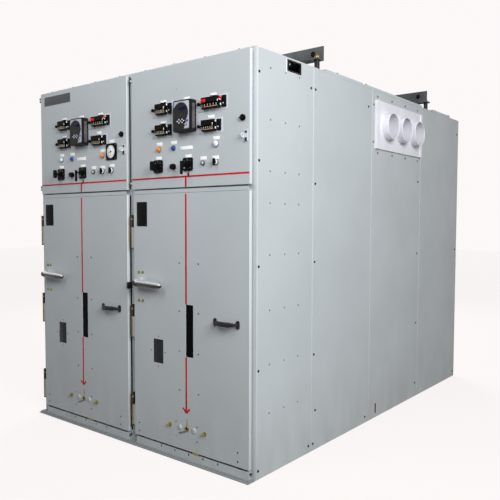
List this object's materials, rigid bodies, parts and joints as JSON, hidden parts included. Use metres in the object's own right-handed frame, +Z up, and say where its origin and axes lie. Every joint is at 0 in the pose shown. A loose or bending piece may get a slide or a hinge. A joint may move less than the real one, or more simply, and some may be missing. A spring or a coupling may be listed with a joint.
{
  "type": "metal-enclosed medium-voltage switchgear lineup",
  "caption": "Free-standing grey sheet-steel switchgear lineup with instrument doors over breaker doors, a bus bushing on its side and lifting angles on its roof.",
  "frame": {"origin": "centre of the enclosure's footprint at floor level", "axes": "+X to the right along the front, +Y to the rear, +Z up; the doors face -Y"},
  "size_m": [2.212, 3.305, 2.672],
  "materials": {
    "grey_paint": "satin light grey enamel",
    "white_moulding": "moulded white insulation",
    "black_plastic": "black moulded plastic",
    "black_steel": "black painted steel",
    "zinc_steel": "yellow passivated zinc",
    "chrome_metal": "polished chrome",
    "dark_pane": "dark polycarbonate",
    "lamp_lens": "coloured lens"
  },
  "bodies": {
    "enclosure": {"floor_pans": "grey_paint", "base_angle": "grey_paint", "front_posts": "grey_paint", "front_rails": "grey_paint", "kick_plates": "grey_paint", "right_front_panel": "grey_paint", "right_bus_panel": "grey_paint", "right_side_panels": "grey_paint", "left_side_panels": "grey_paint", "centre_barrier": "grey_paint", "roof_plates": "grey_paint", "relief_flaps": "grey_paint", "rear_panels": "grey_paint", "compartment_shelves": "grey_paint", "compartment_backs": "grey_paint", "bus_bushing": "white_moulding", "wireway_trim": "black_plastic", "lifting_angles": "black_steel", "lifting_studs": "zinc_steel", "frame_hinges": "black_steel"},
    "control_door_left": {"control_door_left": "grey_paint", "relay_left": "black_plastic", "test_switches_left": "black_plastic", "lamps_left": "lamp_lens", "switch_bases_left": "black_plastic", "hasp_left": "chrome_metal", "meter_left": "black_plastic"},
    "breaker_door_left": {"breaker_door_left": "grey_paint", "window_panes_left": "dark_pane", "pull_handle_left": "black_steel", "racking_port_left": "zinc_steel"},
    "breaker_switch_left": {"breaker_handle_left": "black_plastic"},
    "selector_switch_left": {"selector_handle_left": "black_plastic"},
    "latch_left": {"latch_knob_left": "black_plastic"},
    "lever_left": {"lever_left": "chrome_metal"},
    "key_switch_left": {"key_lever_left": "black_plastic"},
    "spare_switch_left": {"spare_lever_left": "black_plastic"},
    "control_door_right": {"control_door_right": "grey_paint", "relay_right": "black_plastic", "test_switches_right": "black_plastic", "lamps_right": "lamp_lens", "switch_bases_right": "black_plastic", "hasp_right": "chrome_metal"},
    "breaker_door_right": {"breaker_door_right": "grey_paint", "window_panes_right": "dark_pane", "pull_handle_right": "black_steel", "racking_port_right": "zinc_steel"},
    "breaker_switch_right": {"breaker_handle_right": "black_plastic"},
    "selector_switch_right": {"selector_handle_right": "black_plastic"},
    "latch_right": {"latch_knob_right": "black_plastic"},
    "lever_right": {"lever_right": "chrome_metal"},
    "key_switch_right": {"key_lever_right": "black_plastic"}
  },
  "joints": [
    {"name": "control_door_left_hinge", "type": "hinge", "parent": "enclosure", "child": "control_door_left", "pos_m": [-1.047, -1.6265, 0], "axis": [0, 0, -1], "range_deg": [0, 100]},
    {"name": "breaker_door_left_hinge", "type": "hinge", "parent": "enclosure", "child": "breaker_door_left", "pos_m": [-1.047, -1.6265, 0], "axis": [0, 0, -1], "range_deg": [0, 100]},
    {"name": "breaker_switch_left_turn", "type": "hinge", "parent": "control_door_left", "child": "breaker_switch_left", "pos_m": [-0.504, -1.6745, 1.874], "axis": [0, -1, 0], "range_deg": [-45, 45], "stiffness_Nm_per_rad": 0.6},
    {"name": "selector_switch_left_turn", "type": "hinge", "parent": "control_door_left", "child": "selector_switch_left", "pos_m": [-0.769, -1.6745, 1.874], "axis": [0, -1, 0], "range_deg": [-45, 45]},
    {"name": "latch_left_turn", "type": "hinge", "parent": "control_door_left", "child": "latch_left", "pos_m": [-0.066, -1.6405, 2.114], "axis": [0, -1, 0], "range_deg": [0, 90]},
    {"name": "lever_left_turn", "type": "hinge", "parent": "breaker_door_left", "child": "lever_left", "pos_m": [-0.949, -1.6445, 1.115], "axis": [0, -1, 0], "range_deg": [0, 90]},
    {"name": "key_switch_left_turn", "type": "hinge", "parent": "control_door_left", "child": "key_switch_left", "pos_m": [-0.273, -1.6495, 1.874], "axis": [0, -1, 0], "range_deg": [-45, 45]},
    {"name": "spare_switch_left_turn", "type": "hinge", "parent": "control_door_left", "child": "spare_switch_left", "pos_m": [-0.175, -1.6495, 1.874], "axis": [0, -1, 0], "range_deg": [-45, 45]},
    {"name": "control_door_right_hinge", "type": "hinge", "parent": "enclosure", "child": "control_door_right", "pos_m": [0.02, -1.6265, 0], "axis": [0, 0, -1], "range_deg": [0, 100]},
    {"name": "breaker_door_right_hinge", "type": "hinge", "parent": "enclosure", "child": "breaker_door_right", "pos_m": [0.02, -1.6265, 0], "axis": [0, 0, -1], "range_deg": [0, 100]},
    {"name": "breaker_switch_right_turn", "type": "hinge", "parent": "control_door_right", "child": "breaker_switch_right", "pos_m": [0.563, -1.6745, 1.874], "axis": [0, -1, 0], "range_deg": [-45, 45], "stiffness_Nm_per_rad": 0.6},
    {"name": "selector_switch_right_turn", "type": "hinge", "parent": "control_door_right", "child": "selector_switch_right", "pos_m": [0.298, -1.6745, 1.874], "axis": [0, -1, 0], "range_deg": [-45, 45]},
    {"name": "latch_right_turn", "type": "hinge", "parent": "control_door_right", "child": "latch_right", "pos_m": [1.001, -1.6405, 2.114], "axis": [0, -1, 0], "range_deg": [0, 90]},
    {"name": "lever_right_turn", "type": "hinge", "parent": "breaker_door_right", "child": "lever_right", "pos_m": [0.118, -1.6445, 1.115], "axis": [0, -1, 0], "range_deg": [0, 90]},
    {"name": "key_switch_right_turn", "type": "hinge", "parent": "control_door_right", "child": "key_switch_right", "pos_m": [0.794, -1.6495, 1.874], "axis": [0, -1, 0], "range_deg": [-45, 45]}
  ]
}
